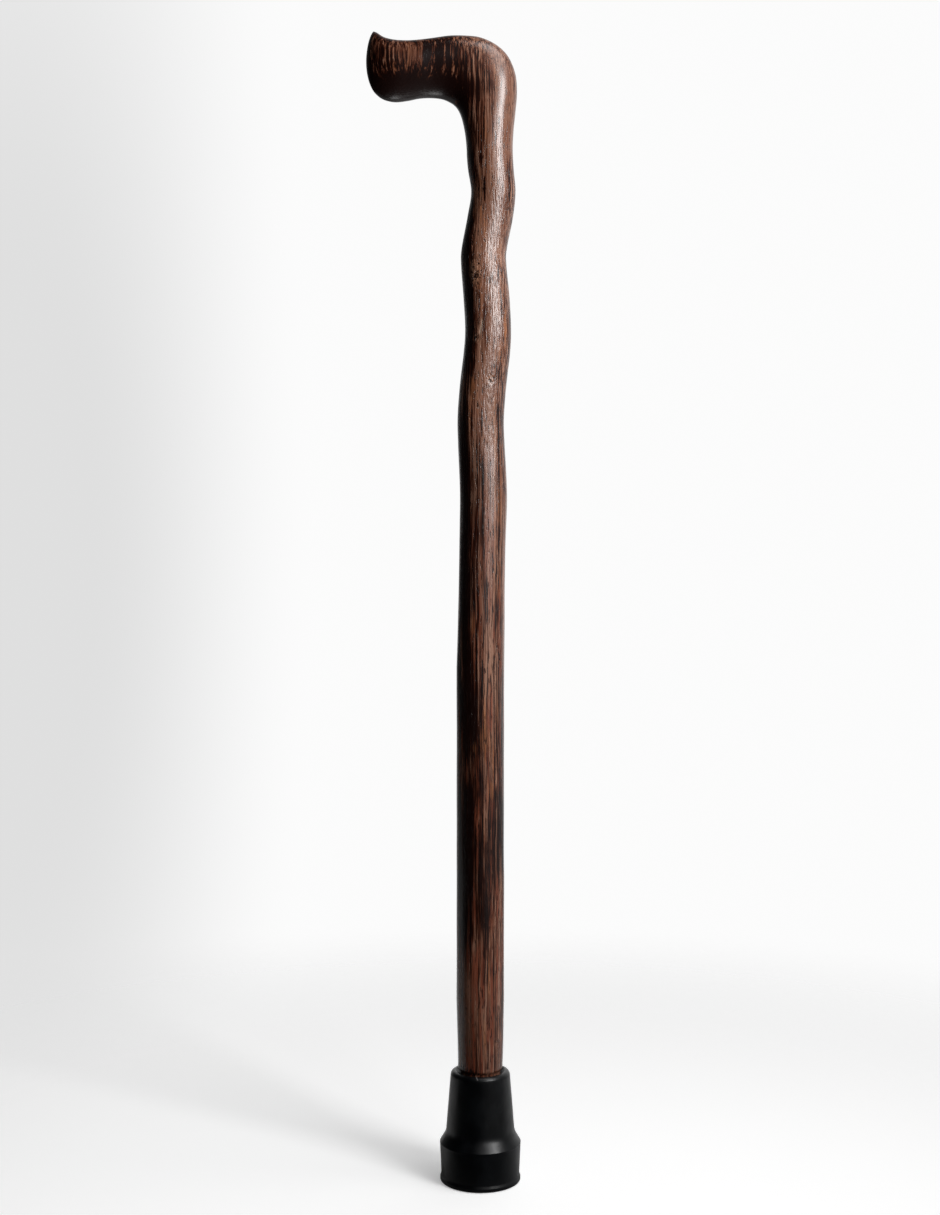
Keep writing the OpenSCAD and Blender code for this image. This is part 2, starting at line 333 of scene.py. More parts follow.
def rib(outer, inner, half_w, bow, square, y, taper):
    """A rib as one row: middle, half length, half width, bow, squareness, shift along Y and taper."""
    outer = np.array(outer, float)
    inner = np.array(inner, float)
    return np.concatenate([(outer + inner) / 2, (outer - inner) / 2, [half_w, bow, square, y, taper]])


def stick_ribs():
    """Every rib of the carved part, from the nose to the top of the straight shaft."""
    low = NOSE_Z - NOSE_RISE - GRIP_H
    ribs = [rib(r[0:2], r[2:4], r[4], r[5], r[6], 0, r[7]) for r in handle_ribs()]
    for below, bend_x, bend_y, slim_x, slim_y in CROOK:
        half = SHAFT_R - slim_x / 2
        z = low - below
        ribs.append(rib((bend_x + half, z), (bend_x - half, z), SHAFT_R - slim_y / 2, 0, 2, bend_y, 0))
    return np.array(ribs)


def spline(a, b, c, d, t):
    """The smooth curve from b to c, where t runs from 0 to 1, and a and d are the values beyond them."""
    line = 2 * b + (c - a) * t
    return (line + (2 * a - 5 * b + 4 * c - d) * t ** 2 + (3 * b - a - 3 * c + d) * t ** 3) / 2


def smooth_rib(ribs, place):
    """The rib at a place along the list, where 2.5 lies halfway from rib 2 to rib 3."""
    i = min(int(place), len(ribs) - 2)
    if i == 0:
        # Past the nose the half width counts backwards, so that the end closes to a round line
        before = ribs[1].copy()
        before[4] = -before[4]
    else:
        before = ribs[i - 1]
    after = ribs[min(i + 2, len(ribs) - 1)]
    return spline(before, ribs[i], ribs[i + 1], after, place - i)


def widest(taper):
    """How much wider than a plain section a tapered one would be at its widest."""
    c = 0 if abs(taper) < 0.001 else (math.sqrt(1 + 8 * taper * taper) - 1) / (4 * taper)
    return math.sqrt(1 - c * c) * (1 + taper * c)


def section(r, sides):
    """Points of one section. Angle 0 is on the outer line, 180 on the inner line."""
    middle_x, middle_z, half_x, half_z, half_w, bow, square, shift_y, taper = r
    angle = np.arange(sides) * 2 * math.pi / sides
    power = 2 / square
    c = np.sign(np.cos(angle)) * np.abs(np.cos(angle)) ** power
    s = np.sign(np.sin(angle)) * np.abs(np.sin(angle)) ** power
    out = np.clip(1 - c * c, 0, 1) ** (END_CURVE / 2) * bow / math.hypot(half_x, half_z)
    x = middle_x + half_x * c - half_z * out
    z = middle_z + half_z * c + half_x * out
    y = shift_y + max(half_w, 0) * s * (1 + taper * c) / widest(taper)
    return np.stack([x, y, z], axis=1)


def carved_rings():
    """Sections of the carved part at even steps along its surface."""
    ribs = stick_ribs()
    fine = np.linspace(0, len(ribs) - 1, MEASURE_STEPS)
    quarter = np.array([section(smooth_rib(ribs, p), 4) for p in fine])
    steps = np.linalg.norm(np.diff(quarter, axis=0), axis=2).mean(axis=1)
    travel = np.concatenate([[0], np.cumsum(steps)])
    count = int(travel[-1] / RING_SPACING)
    places = np.interp(np.linspace(0, travel[-1], count), travel, fine)
    return [section(smooth_rib(ribs, p), STICK_SIDES) for p in places]


def turned_rings(last_z):
    """Sections of the straight shaft, the neck and the tenon, from just under last_z down."""
    neck_z = TIP_H + BEVEL_H
    neck_top = neck_z + NECK_L
    straight = np.arange(last_z - RING_SPACING, neck_top + 2 * RING_SPACING, -RING_SPACING)
    rows = [(z, SHAFT_R) for z in straight]
    neck = np.arange(neck_top, neck_z + 1, -RING_SPACING)
    rows += [(z, np.interp(z, (neck_z, neck_top), (NECK_R, SHAFT_R))) for z in neck]
    # The bevel down to the tenon, with its upper edge rounded
    rows += [(neck_z + 0.5, NECK_R), (neck_z - 0.1, NECK_R - 0.15), (neck_z - 0.6, NECK_R - 0.5)]
    rows += [(TIP_H + 0.5, TENON_R + 0.35), (TIP_H, TENON_R), (TIP_H - 1, TENON_R - TENON_SLACK)]
    tenon = np.linspace(TIP_H - 4, TENON_END_Z + TENON_BEVEL + 0.3, 12)
    rows += [(z, TENON_R - TENON_SLACK) for z in tenon]
    rows += [(TENON_END_Z + TENON_BEVEL, TENON_R - 0.1), (TENON_END_Z, TENON_R - TENON_BEVEL)]
    rows += [(TENON_END_Z, TENON_R * share) for share in (0.85, 0.6, 0.35, 0.1)]
    angle = np.arange(STICK_SIDES) * 2 * math.pi / STICK_SIDES
    circle = np.stack([np.cos(angle), np.sin(angle)], axis=1)
    return [np.column_stack([circle * r, np.full(STICK_SIDES, z)]) for z, r in rows]


def ring_normals(points):
    """Outward normals on a grid of rings, from the neighbours along and around."""
    along = np.gradient(points, axis=0)
    around = np.roll(points, -1, axis=1) - np.roll(points, 1, axis=1)
    n = np.cross(along, around)
    length = np.linalg.norm(n, axis=2, keepdims=True)
    n = n / np.maximum(length, 1e-9)
    middle = points.mean(axis=1, keepdims=True)
    outward = np.sum(n * (points - middle), axis=2).sum()
    return n if outward > 0 else -n


def grit_at(p, size):
    """Noise at a point, with grains of the given size along X, Y and Z."""
    return noise.noise(Vector((p[0] / size[0], p[1] / size[1], p[2] / size[2])))


def face_layer(p, layer):
    """Height of one layer of noise, drawn out along the grain, which runs up the stick."""
    height, wide, long, seed = layer
    at = Vector((p[0] / wide + seed, p[1] / wide - seed, p[2] / long + 3 * seed))
    return height * noise.noise(at)


def carve_depth(p):
    """Height of the hand-worked face over the plain form. The hand has worn the grip smoother."""
    worn = np.interp(p[2], GRIP_WORN, (1.0, WORN_FACE))
    return face_layer(p, BROAD_FACE) + worn * (face_layer(p, FACETS) + face_layer(p, RIDGES))


def mark_at(p, side, row):
    """How strongly a mark covers a point, from 0 to 1, and the noise that breaks it up."""
    kind, mark_side, x, z, half_w, half_l, strength = row
    if side * mark_side < 0:
        return 0, 0
    across = (p[0] - x) / half_w
    if kind == "crack":
        across = across - CRACK_SWAY * math.sin((p[2] - z) / half_l * CRACK_TURN)
    rough = grit_at(p, MARK_GRIT)
    reach = math.hypot(across, (p[2] - z) / half_l) + MARK_RAGGED * rough
    return strength * max(0, 1 - reach * reach), rough


def zone_at(p, side):
    """How strongly the broad zones of each tone cover a point."""
    cover = {"dark": 0, "warm": 0, "light": 0}
    for tone, zone_side, x, z, half_w, half_l, strength in ZONES:
        if side * zone_side < 0 or abs(p[2] - z) > 1.4 * half_l:
            continue
        edge = ZONE_RAGGED * grit_at(p, ZONE_GRIT)
        reach = math.hypot((p[0] - x) / half_w, (p[2] - z) / half_l) + edge
        cover[tone] = max(cover[tone], strength * min(1, max(0, (ZONE_REACH - reach) / ZONE_SOFT)))
    return cover["dark"], cover["warm"], cover["light"]


def mark_effect(kind, cover, rough):
    """Height, warmth, darkness, paleness and lumpiness that a mark adds to a point."""
    height, *paints = [share * cover for share in MARK_EFFECTS[kind]]
    if kind == "burr":
        height += BURR_LUMPS * cover * rough
    return [height] + [min(1, paint) for paint in paints]


def build_mesh(name, rings, close_start, paints=None):
    """A mesh of quads over rings of points in millimetres, closed at its end.

    The paints, if any, are colours for each point under the name of their layer.
    """
    count, sides = len(rings), len(rings[0])
    points = np.concatenate(rings) * MM
    faces = []
    for i in range(count - 1):
        for k in range(sides):
            n = (k + 1) % sides
            faces.append((i * sides + k, i * sides + n, (i + 1) * sides + n, (i + 1) * sides + k))
    faces.append(tuple((count - 1) * sides + k for k in range(sides)))
    if close_start:
        faces.append(tuple(reversed(range(sides))))
    mesh = bpy.data.meshes.new(name)
    mesh.from_pydata(points.tolist(), [], faces)
    for title, paint in (paints or {}).items():
        layer = mesh.color_attributes.new(title, "FLOAT_COLOR", "POINT")
        layer.data.foreach_set("color", paint.ravel())
    bm = bmesh.new()
    bm.from_mesh(mesh)
    bmesh.ops.remove_doubles(bm, verts=bm.verts, dist=MERGE * MM)
    bmesh.ops.recalc_face_normals(bm, faces=bm.faces)
    for f in bm.faces:
        f.smooth = True
    bm.to_mesh(mesh)
    bm.free()
    piece = bpy.data.objects.new(name, mesh)
    bpy.context.scene.collection.objects.link(piece)
    return piece


def near(p, row):
    """Whether a point lies near enough to a mark for the mark to reach it."""
    x, z, half_w, half_l = row[2:6]
    return abs(p[0] - x) <= 2.5 * half_w + 1 and abs(p[2] - z) <= 1.5 * half_l + 1


def make_stick():
    """The carved stick, with its marks and zones painted on its points."""
    rings = carved_rings()
    rings += turned_rings(rings[-1][0][2])
    points = np.array(rings)
    normals = ring_normals(points)
    marks = np.zeros((len(rings), STICK_SIDES, 4))
    zones = np.zeros((len(rings), STICK_SIDES, 4))
    zones[:, :, 3] = 1
    plain_z = TIP_H + BEVEL_H + PLAIN_H
    for i, ring in enumerate(points.copy()):
        for k, p in enumerate(ring):
            fade = min(1, max(0, (p[2] - plain_z) / PLAIN_FADE))
            if fade == 0:
                continue
            height = carve_depth(p)
            side = 1 if normals[i, k, 1] > 0 else -1
            zones[i, k, :3] = zone_at(p, side)
            for row in MARKS:
                if not near(p, row):
                    continue
                cover, rough = mark_at(p, side, row)
                if cover > 0:
                    effect = mark_effect(row[0], cover, rough)
                    height += effect[0]
                    marks[i, k] = np.maximum(marks[i, k], effect[1:])
            points[i, k] += normals[i, k] * height * fade
    return build_mesh("carved_stick", list(points), False, {"marks": marks, "zones": zones})


def corner_arc(before, corner, after, steps=5):
    """Points that round the corner of an outline. Each corner is (r, z, radius)."""
    p = np.array(corner[:2], float)
    if corner[2] == 0:
        return [p]
    a = np.array(before[:2]) - p
    b = np.array(after[:2]) - p
    a = a / np.linalg.norm(a)
    b = b / np.linalg.norm(b)
    half = math.acos(float(np.dot(a, b))) / 2
    to_edge = corner[2] / math.tan(half)
    centre = p + (a + b) / np.linalg.norm(a + b) * corner[2] / math.sin(half)
    points = []
    for i in range(steps + 1):
        m = (p + a * to_edge - centre) * (steps - i) + (p + b * to_edge - centre) * i
        points.append(centre + m / np.linalg.norm(m) * corner[2])
    return points


def rounded(corners):
    """The outline with its corners rounded, each by its own radius."""
    out = []
    for i, corner in enumerate(corners):
        before = corners[max(i - 1, 0)]
        after = corners[min(i + 1, len(corners) - 1)]
        out += corner_arc(before, corner, after)
    return out


def spaced(points, gap):
    """The outline again with extra points, so that none lie further apart than gap."""
    out = [points[0]]
    for a, b in zip(points, points[1:]):
        parts = max(1, int(np.linalg.norm(b - a) / gap))
        out += [a + (b - a) * (i + 1) / parts for i in range(parts)]
    return out


def tip_outline():
    """Half the tip's section, from the middle of its sole round to the middle of its socket's floor."""
    corners = [(0.2, 0, 0)]
    for i in range(GROOVE_N):
        inner = LAND_R + i * GROOVE_PITCH
        outer = inner + GROOVE_W
        corners += [(inner, 0, 0.4), (inner + 0.2, GROOVE_DEPTH, 0.4)]
        corners += [(outer - 0.2, GROOVE_DEPTH, 0.4), (outer, 0, 0.4)]
    corners += [
        (BEAD_R, 0, 0.9),
        (BEAD_R, BEAD_H, 0.6),
        (WAIST_R, BEAD_H + 2, 2.5),
        (COLLAR_R - 0.12, COLLAR_Z - 0.9, 0.3),
        (COLLAR_R, COLLAR_Z - 0.55, 0.2),
        (COLLAR_R, COLLAR_Z, 0.35),
        (CONE_R, CONE_Z, 12),
        (RIM_R, TIP_H, 3.2),
        (SOCKET_R + MOUTH_BEVEL, TIP_H, 0.9),
        (SOCKET_R, TIP_H - MOUTH_BEVEL_H, 0.3),
        (SOCKET_R, SOLE_T, 0.3),
        (0.2, SOLE_T, 0),
    ]
    return spaced(rounded(corners), TIP_SPACING)


def make_tip():
    """The moulded tip, whose outside swells slightly as rubber does."""
    rings = []
    angle = np.arange(TIP_SIDES) * 2 * math.pi / TIP_SIDES
    for r, z in tip_outline():
        ring = np.stack([r * np.cos(angle), r * np.sin(angle), np.full(TIP_SIDES, z)], axis=1)
        # The sole and the socket stay plain
        outside = r > RIM_R - 4 and z > 0.5
        if outside:
            for p in ring:
                swell = sum(height * noise.noise(Vector(p / size)) for height, size in TIP_SWELLS)
                p[:2] *= 1 + swell / r
        rings.append(ring)
    return build_mesh("moulded_tip", rings, True)


class Shader:
    """Short calls for building the nodes of a new material, or of the world."""

    def __init__(self, owner):
        self.material = bpy.data.materials.new(owner) if isinstance(owner, str) else owner
        self.material.use_nodes = True
        self.tree = self.material.node_tree
        self.tree.nodes.clear()

    def add(self, kind, inputs=None, **settings):
        """A new node. An input is a plain value, or the output of another node."""
        node = self.tree.nodes.new(kind)
        for key, value in settings.items():
            setattr(node, key, value)
        for key, value in (inputs or {}).items():
            if isinstance(value, bpy.types.NodeSocket):
                self.tree.links.new(value, node.inputs[key])
            else:
                node.inputs[key].default_value = value
        return node

    def place(self):
        """The point in the piece's own coordinates, in millimetres."""
        coords = self.add("ShaderNodeTexCoord")
        return self.vector("SCALE", coords.outputs["Object"], scale=1 / MM)

    def vector(self, operation, a, b=None, scale=None):
        """One step of arithmetic with vectors."""
        node = self.add("ShaderNodeVectorMath", {0: a}, operation=operation)
        if b is not None:
            if isinstance(b, bpy.types.NodeSocket):
                self.tree.links.new(b, node.inputs[1])
            else:
                node.inputs[1].default_value = b
        if scale is not None:
            node.inputs["Scale"].default_value = scale
        return node.outputs[0]

    def math(self, operation, a, b=0.0, c=0.0):
        """One step of arithmetic with plain values."""
        return self.add("ShaderNodeMath", {0: a, 1: b, 2: c}, operation=operation).outputs[0]

    def split(self, vector):
        """The X, Y and Z of a vector."""
        return self.add("ShaderNodeSeparateXYZ", {0: vector}).outputs

    def blend(self, parts, centre=0.5):
        """The weighted sum of several values, each taken about its middle, with centre added."""
        total = centre
        for value, weight in parts:
            total = self.math("MULTIPLY_ADD", self.math("SUBTRACT", value, 0.5), weight, total)
        return total

    def noise(self, place, size, detail=2.0, roughness=0.5):
        """Noise with grains of the given size along X, Y and Z, in millimetres."""
        scaled = self.vector("DIVIDE", place, size)
        inputs = {"Vector": scaled, "Scale": 1.0, "Detail": detail, "Roughness": roughness}
        return self.add("ShaderNodeTexNoise", inputs).outputs["Fac"]

    def noise_vector(self, place, size, reach):
        """A wandering shift of up to about reach along X, Y and Z."""
        inputs = {"Vector": self.vector("DIVIDE", place, size), "Scale": 1.0, "Detail": 2.0}
        colour = self.add("ShaderNodeTexNoise", inputs).outputs["Color"]
        centred = self.vector("SUBTRACT", colour, (0.5, 0.5, 0.5))
        return self.vector("MULTIPLY", centred, reach)

    def ramp(self, value, low, high, to_low=0.0, to_high=1.0):
        """A soft step: to_low where the value is at low, and to_high where it is at high."""
        inputs = {"Value": value, "From Min": low, "From Max": high, "To Min": to_low, "To Max": to_high}
        return self.add("ShaderNodeMapRange", inputs, interpolation_type="SMOOTHSTEP").outputs["Result"]

    def colours(self, value, stops):
        """A scale of colours. Each stop is a value and its colour."""
        node = self.add("ShaderNodeValToRGB", {"Fac": value})
        elements = node.color_ramp.elements
        while len(elements) < len(stops):
            elements.new(0.5)
        for element, (position, colour) in zip(elements, stops):
            element.position = position
            element.color = (*colour, 1)
        return node.outputs["Color"]

    def mix(self, amount, a, b):
        """From colour a to colour b, as far as amount says."""
        node = self.add("ShaderNodeMix", data_type="RGBA")
        for index, value in ((0, amount), (6, a), (7, b)):
            if isinstance(value, bpy.types.NodeSocket):
                self.tree.links.new(value, node.inputs[index])
            elif index == 0:
                node.inputs[index].default_value = value
            else:
                node.inputs[index].default_value = (*value, 1)
        return node.outputs[2]

    def mix_value(self, amount, a, b):
        """From value a to value b, as far as amount says."""
        return self.add("ShaderNodeMix", {0: amount, 2: a, 3: b}).outputs[0]

    def bump(self, height, distance_mm, strength=1.0):
        """The normal of a fine relief, where a height of 1 stands distance_mm over a height of 0."""
        inputs = {"Height": height, "Distance": distance_mm * MM, "Strength": strength}
        return self.add("ShaderNodeBump", inputs).outputs["Normal"]

    def looked_at(self, straight_behind):
        """1 for what the camera sees, and for what gloss and glass mirror of the part straight behind."""
        path = self.add("ShaderNodeLightPath").outputs
        mirrored = self.math("MAXIMUM", path["Is Glossy Ray"], path["Is Transmission Ray"])
        return self.math("MAXIMUM", path["Is Camera Ray"], self.math("MULTIPLY", mirrored, straight_behind))

    def surface(self, inputs):
        """The finished surface. Plain numbers stay on the shader's own sockets."""
        shader = self.add("ShaderNodeBsdfPrincipled", inputs)
        self.add("ShaderNodeOutputMaterial", {"Surface": shader.outputs[0]})
        return self.material


# Colours of the wood as linear light. The first four run from dark to light.
WOOD_BLACK = (0.0075, 0.0011, 0.0005)
WOOD_DARK = (0.050, 0.0115, 0.0048)
WOOD_BROWN = (0.140, 0.054, 0.031)
WOOD_LIGHT = (0.302, 0.158, 0.106)
WOOD_ORANGE = (0.360, 0.135, 0.055)
WOOD_RED = (0.190, 0.046, 0.022)
WOOD_PALE = (0.600, 0.450, 0.340)
# The tones at which the wood has its colours
WOOD_SCALE = [(0.36, WOOD_BLACK), (0.44, WOOD_DARK), (0.51, WOOD_BROWN), (0.62, WOOD_LIGHT)]

# The layers of noise in the wood: the size of their grains along X, Y and Z
WANDER = (24, 24, 70)
QUIVER = (4.5, 4.5, 26)
BANDS = (3.0, 7.0, 150)
LINES = (1.0, 1.7, 100)
FLECKS = (1.0, 1.5, 14)
PATCHES = (26, 26, 80)
PORES = (0.8, 0.8, 9.0)
ORANGE_RUNS = (2.0, 4.0, 60)
ORANGE_PATCHES = (30, 30, 55)
RED_RUNS = (2.4, 5.0, 50)
LUMPS = (1.7, 1.7, 2.6)
PEBBLES = (1.2, 1.2, 7.0)
# How far the grain wanders and quivers along X, Y and Z
WANDER_REACH = (4.0, 4.0, 0)
QUIVER_REACH = (0.75, 0.75, 0)

# What shifts the wood's tone: the handle from one x to the other, the dark zones, the stripes, and the
# light zones, which draw it most of the way to one tone. A few zones are painted light and shade.
HANDLE_FROM = (-8, -24)
HANDLE_TONE = -0.12
DARK_ZONE_TONE = -0.16
LIGHT_ZONE_TONE = 0.570
LIGHT_ZONE_SHARE = 0.80
LIGHT_STRIPE_TONE = 0.09
DARK_STRIPE_TONE = -0.22
# The values of their noise between which pores, hollows, orange runs and patches, and red runs begin
PORE_EDGE = (0.59, 0.67)
HOLLOW_EDGE = (0.46, 0.38)
ORANGE_RUN_EDGE = (0.54, 0.64)
ORANGE_PATCH_EDGE = (0.48, 0.62)
RED_RUN_EDGE = (0.48, 0.62)
# How strong the orange patches are, how strong orange gets on light wood, and from what tone to what tone
ORANGE_PATCH = 0.4
ORANGE_MOST = 0.75
ORANGE_TONES = (0.40, 0.52)
# From what tone to what tone the red runs show, and how strong they are, more down the shaft, from the
# first z to the second
RED_TONES = (0.40, 0.50)
RED_DOWN = (620, 300)
RED_LEAST = 0.1
RED_MOST = 0.8
# Warm marks keep to the grain's lines: the values between which they begin, and how warm it is between them
WARM_LINES = (0.38, 0.58)
WARM_LEAST = 0.25
# How black the pores and the dark zones are, the painted shade under the grip among them
PORE_BLACK = 0.85
ZONE_BLACK = 0.90
# Light wood is glossier: a dark and a light tone, and the roughness at each
GLOSS_TONES = (0.36, 0.60)
WOOD_ROUGH = (0.31, 0.25)
WOOD_IOR = 1.56
# The stretch of the shaft whose face is most pebbled, from z to z, and the length over which it fades
PEBBLED = (560, 725)
PEBBLED_FADE = 30
# Depth of the wood's fine relief, and the heights of what it is made of, as shares of that depth. In the
# pebbled stretch the pebbles stand higher by PEBBLED_HEIGHT.
RELIEF = 0.25
LINE_HEIGHT = 0.55
PORE_HEIGHT = -0.30
PEBBLE_HEIGHT = 0.3
PEBBLED_HEIGHT = 1.4
LUMP_HEIGHT = 3.0
# A stripe's edge is this soft, it narrows by this share to its ends, and its ends fade from this share on
STRIPE_EDGE = 0.35
STRIPE_NARROWS = 0.6
STRIPE_FADE = 0.8
# A stripe of the shaft fades out from this far in front of the middle to this far behind it
STRIPE_FRONT = 3


def bowed(s, place):
    """The place with its X drawn so that the grain bows apart about the eye in the handle's side."""
    x, y, z = s.split(place)
    across = s.math("SUBTRACT", x, EYE_X)
    away = s.math("ABSOLUTE", s.math("SUBTRACT", z, EYE_Z))
    up = s.math("DIVIDE", s.math("MINIMUM", away, EYE_TALL), EYE_PINCH)
    share = s.ramp(s.math("ABSOLUTE", across), EYE_FAR, EYE_NEAR)
    pinch = s.math("MULTIPLY", s.math("POWER", up, EYE_CURVE), share)
    drawn = s.math("MULTIPLY_ADD", across, pinch, x)
    return s.add("ShaderNodeCombineXYZ", {0: drawn, 1: y, 2: z}).outputs[0]


def striped(s, across, z, rows):
    """How strongly the stripes in the rows darken and lighten a point."""
    cover = {"dark": 0.0, "light": 0.0}
    for tone, x, middle_z, half_w, half_l, strength in rows:
        off = s.math("ABSOLUTE", s.math("SUBTRACT", across, x))
        far = s.math("ABSOLUTE", s.math("SUBTRACT", z, middle_z))
        narrow = s.math("MULTIPLY_ADD", far, -STRIPE_NARROWS * half_w / half_l, half_w)
        inside = s.math("SUBTRACT", narrow, off)
        edge = s.ramp(inside, -STRIPE_EDGE, STRIPE_EDGE, 0.0, strength)
        end = s.ramp(far, half_l, half_l * STRIPE_FADE)
        cover[tone] = s.math("MAXIMUM", cover[tone], s.math("MULTIPLY", edge, end))
    return cover["dark"], cover["light"]


def painted(s, title):
    """The red, green, blue and alpha of a layer of paint on the mesh."""
    paint = s.add("ShaderNodeAttribute", attribute_name=title).outputs
    parts = s.add("ShaderNodeSeparateColor", {"Color": paint["Color"]}).outputs
    return parts[0], parts[1], parts[2], paint["Alpha"]


def wood_stripes(s, x, y, z):
    """How strongly single stripes darken and lighten the wood."""
    front = s.ramp(y, STRIPE_FRONT, -STRIPE_FRONT)
    deep = striped(s, x, z, HANDLE_STRIPES)
    shown = striped(s, x, z, SHAFT_STRIPES)
    return [s.math("MAXIMUM", a, s.math("MULTIPLY", b, front)) for a, b in zip(deep, shown)]


def wood_tone(s, place, grain_place, x, lines, zones, stripes):
    """How light the wood is, from its layers, zones and stripes."""
    bands = s.noise(grain_place, BANDS, detail=2.0, roughness=0.6)
    flecks = s.noise(grain_place, FLECKS, detail=1.0)
    patches = s.noise(place, PATCHES, detail=1.5)
    tone = s.blend([(bands, 0.40), (lines, 1.00), (flecks, 0.30), (patches, 0.22)])
    tone = s.math("MULTIPLY_ADD", s.ramp(x, *HANDLE_FROM), HANDLE_TONE, tone)
    tone = s.mix_value(s.math("MULTIPLY", zones[2], LIGHT_ZONE_SHARE), tone, LIGHT_ZONE_TONE)
    tone = s.math("MULTIPLY_ADD", zones[0], DARK_ZONE_TONE, tone)
    tone = s.math("MULTIPLY_ADD", stripes[1], LIGHT_STRIPE_TONE, tone)
    return s.math("MULTIPLY_ADD", stripes[0], DARK_STRIPE_TONE, tone)


def wood_colour(s, place, grain_place, z, tone, warm_zone):
    """The wood's colour at its tone, with its orange and red runs."""
    run = s.ramp(s.noise(grain_place, ORANGE_RUNS, detail=2.0), *ORANGE_RUN_EDGE)
    patch = s.ramp(s.noise(place, ORANGE_PATCHES), *ORANGE_PATCH_EDGE, 0.0, ORANGE_PATCH)
    orange = s.math("MULTIPLY", run, s.math("MAXIMUM", patch, warm_zone))
    orange = s.math("MULTIPLY", orange, s.ramp(tone, *ORANGE_TONES, 0.0, ORANGE_MOST))
    colour = s.mix(orange, s.colours(tone, WOOD_SCALE), WOOD_ORANGE)
    run = s.ramp(s.noise(grain_place, RED_RUNS, detail=1.0), *RED_RUN_EDGE)
    redder = s.math("MULTIPLY", s.ramp(z, *RED_DOWN, RED_LEAST, RED_MOST), s.ramp(tone, *RED_TONES))
    return s.mix(s.math("MULTIPLY", run, redder), colour, WOOD_RED)


def marked_colour(s, colour, lines, pores, lumps, marks, dark_zone):
    """The colour with the marks, the pores and the dark zones laid over it, the painted shade under the
    grip among them.
    """
    warm, dark, pale, lumpy = marks
    warm = s.math("MULTIPLY", warm, s.ramp(lines, *WARM_LINES, WARM_LEAST, 1.0))
    colour = s.mix(warm, colour, WOOD_ORANGE)
    colour = s.mix(pale, colour, WOOD_PALE)
    hollows = s.math("MULTIPLY", s.ramp(lumps, *HOLLOW_EDGE), lumpy)
    dark = s.math("MAXIMUM", dark, s.math("MAXIMUM", hollows, s.math("MULTIPLY", pores, PORE_BLACK)))
    dark = s.math("MAXIMUM", dark, s.math("MULTIPLY", dark_zone, ZONE_BLACK))
    return s.mix(dark, colour, WOOD_BLACK)


def wood_height(s, grain_place, z, lines, pores, lumps, lumpy):
    """Height of the wood's lines, pores, pebbles and burrs, less on the worn grip."""
    low, high = PEBBLED
    rough = s.math("MULTIPLY", s.ramp(z, low - PEBBLED_FADE, low), s.ramp(z, high + PEBBLED_FADE, high))
    pebble = s.math("SUBTRACT", s.noise(grain_place, PEBBLES, detail=1.0, roughness=0.6), 0.5)
    pebble = s.math("MULTIPLY", pebble, s.math("MULTIPLY_ADD", rough, PEBBLED_HEIGHT, PEBBLE_HEIGHT))
    burr = s.math("MULTIPLY", s.math("MULTIPLY", lumps, LUMP_HEIGHT), lumpy)
    fine = s.blend([(lines, LINE_HEIGHT), (pores, PORE_HEIGHT)], centre=0.0)
    height = s.math("ADD", fine, s.math("ADD", pebble, burr))
    return s.math("MULTIPLY", height, s.ramp(z, *GRIP_WORN, 1.0, WORN_RELIEF))


def wood_material():
    """Dark, striped hardwood with an oiled face."""
    s = Shader("oiled_hardwood")
    place = s.place()
    bent = bowed(s, place)
    wander = s.noise_vector(place, WANDER, WANDER_REACH)
    quiver = s.noise_vector(place, QUIVER, QUIVER_REACH)
    grain_place = s.vector("ADD", s.vector("ADD", bent, wander), quiver)
    x, y, z = s.split(s.vector("ADD", bent, quiver))
    marks = painted(s, "marks")
    zones = painted(s, "zones")
    lines = s.noise(grain_place, LINES, detail=2.0, roughness=0.65)
    pores = s.ramp(s.noise(grain_place, PORES, detail=1.0), *PORE_EDGE)
    lumps = s.noise(place, LUMPS, detail=1.0)

    tone = wood_tone(s, place, grain_place, x, lines, zones, wood_stripes(s, x, y, z))
    colour = wood_colour(s, place, grain_place, z, tone, zones[1])
    height = wood_height(s, grain_place, z, lines, pores, lumps, marks[3])
    return s.surface({
        "Base Color": marked_colour(s, colour, lines, pores, lumps, marks, zones[0]),
        "Roughness": s.ramp(tone, *GLOSS_TONES, *WOOD_ROUGH),
        "Normal": s.bump(height, RELIEF),
        "IOR": WOOD_IOR,
    })


# Colours of the rubber, its layers of noise with the size of their grains along X, Y and Z, the heights
# of its relief, and its roughness in the dark and the light clouds
RUBBER_DARK = (0.0008, 0.0009, 0.0014)
RUBBER_LIGHT = (0.0018, 0.0022, 0.0030)
RUBBER_BLOOM = (0.0060, 0.0078, 0.0095)
BLOOM_MOST = 0.20
CLOUDS = (9, 9, 14)
BLOOMS = (22, 22, 30)
GRIT = (0.45, 0.45, 0.45)
SWELLS = (3.5, 3.5, 5)
GRIT_HEIGHT = 0.25
SWELL_HEIGHT = 0.75
RUBBER_RELIEF = 0.12
RUBBER_ROUGH = (0.31, 0.40)
RUBBER_IOR = 1.42
# The values between which the blooms begin, and over which the roughness of rubber and zinc changes
BLOOM_EDGE = (0.42, 0.68)
ROUGH_SPAN = (0.3, 0.7)
# A pale nick in the rubber's rim, on the front, that leans to one side. Its half width and half length
# run from where it begins to where it is full.
NICK_PALE = (0.16, 0.15, 0.15)
NICK_MOST = 0.8
NICK_AT = (-2.9, -20.0, 81.5)
NICK_LEAN = 0.55
NICK_HALF_W = (0.55, 0.25)
NICK_HALF_L = (2.0, 1.2)


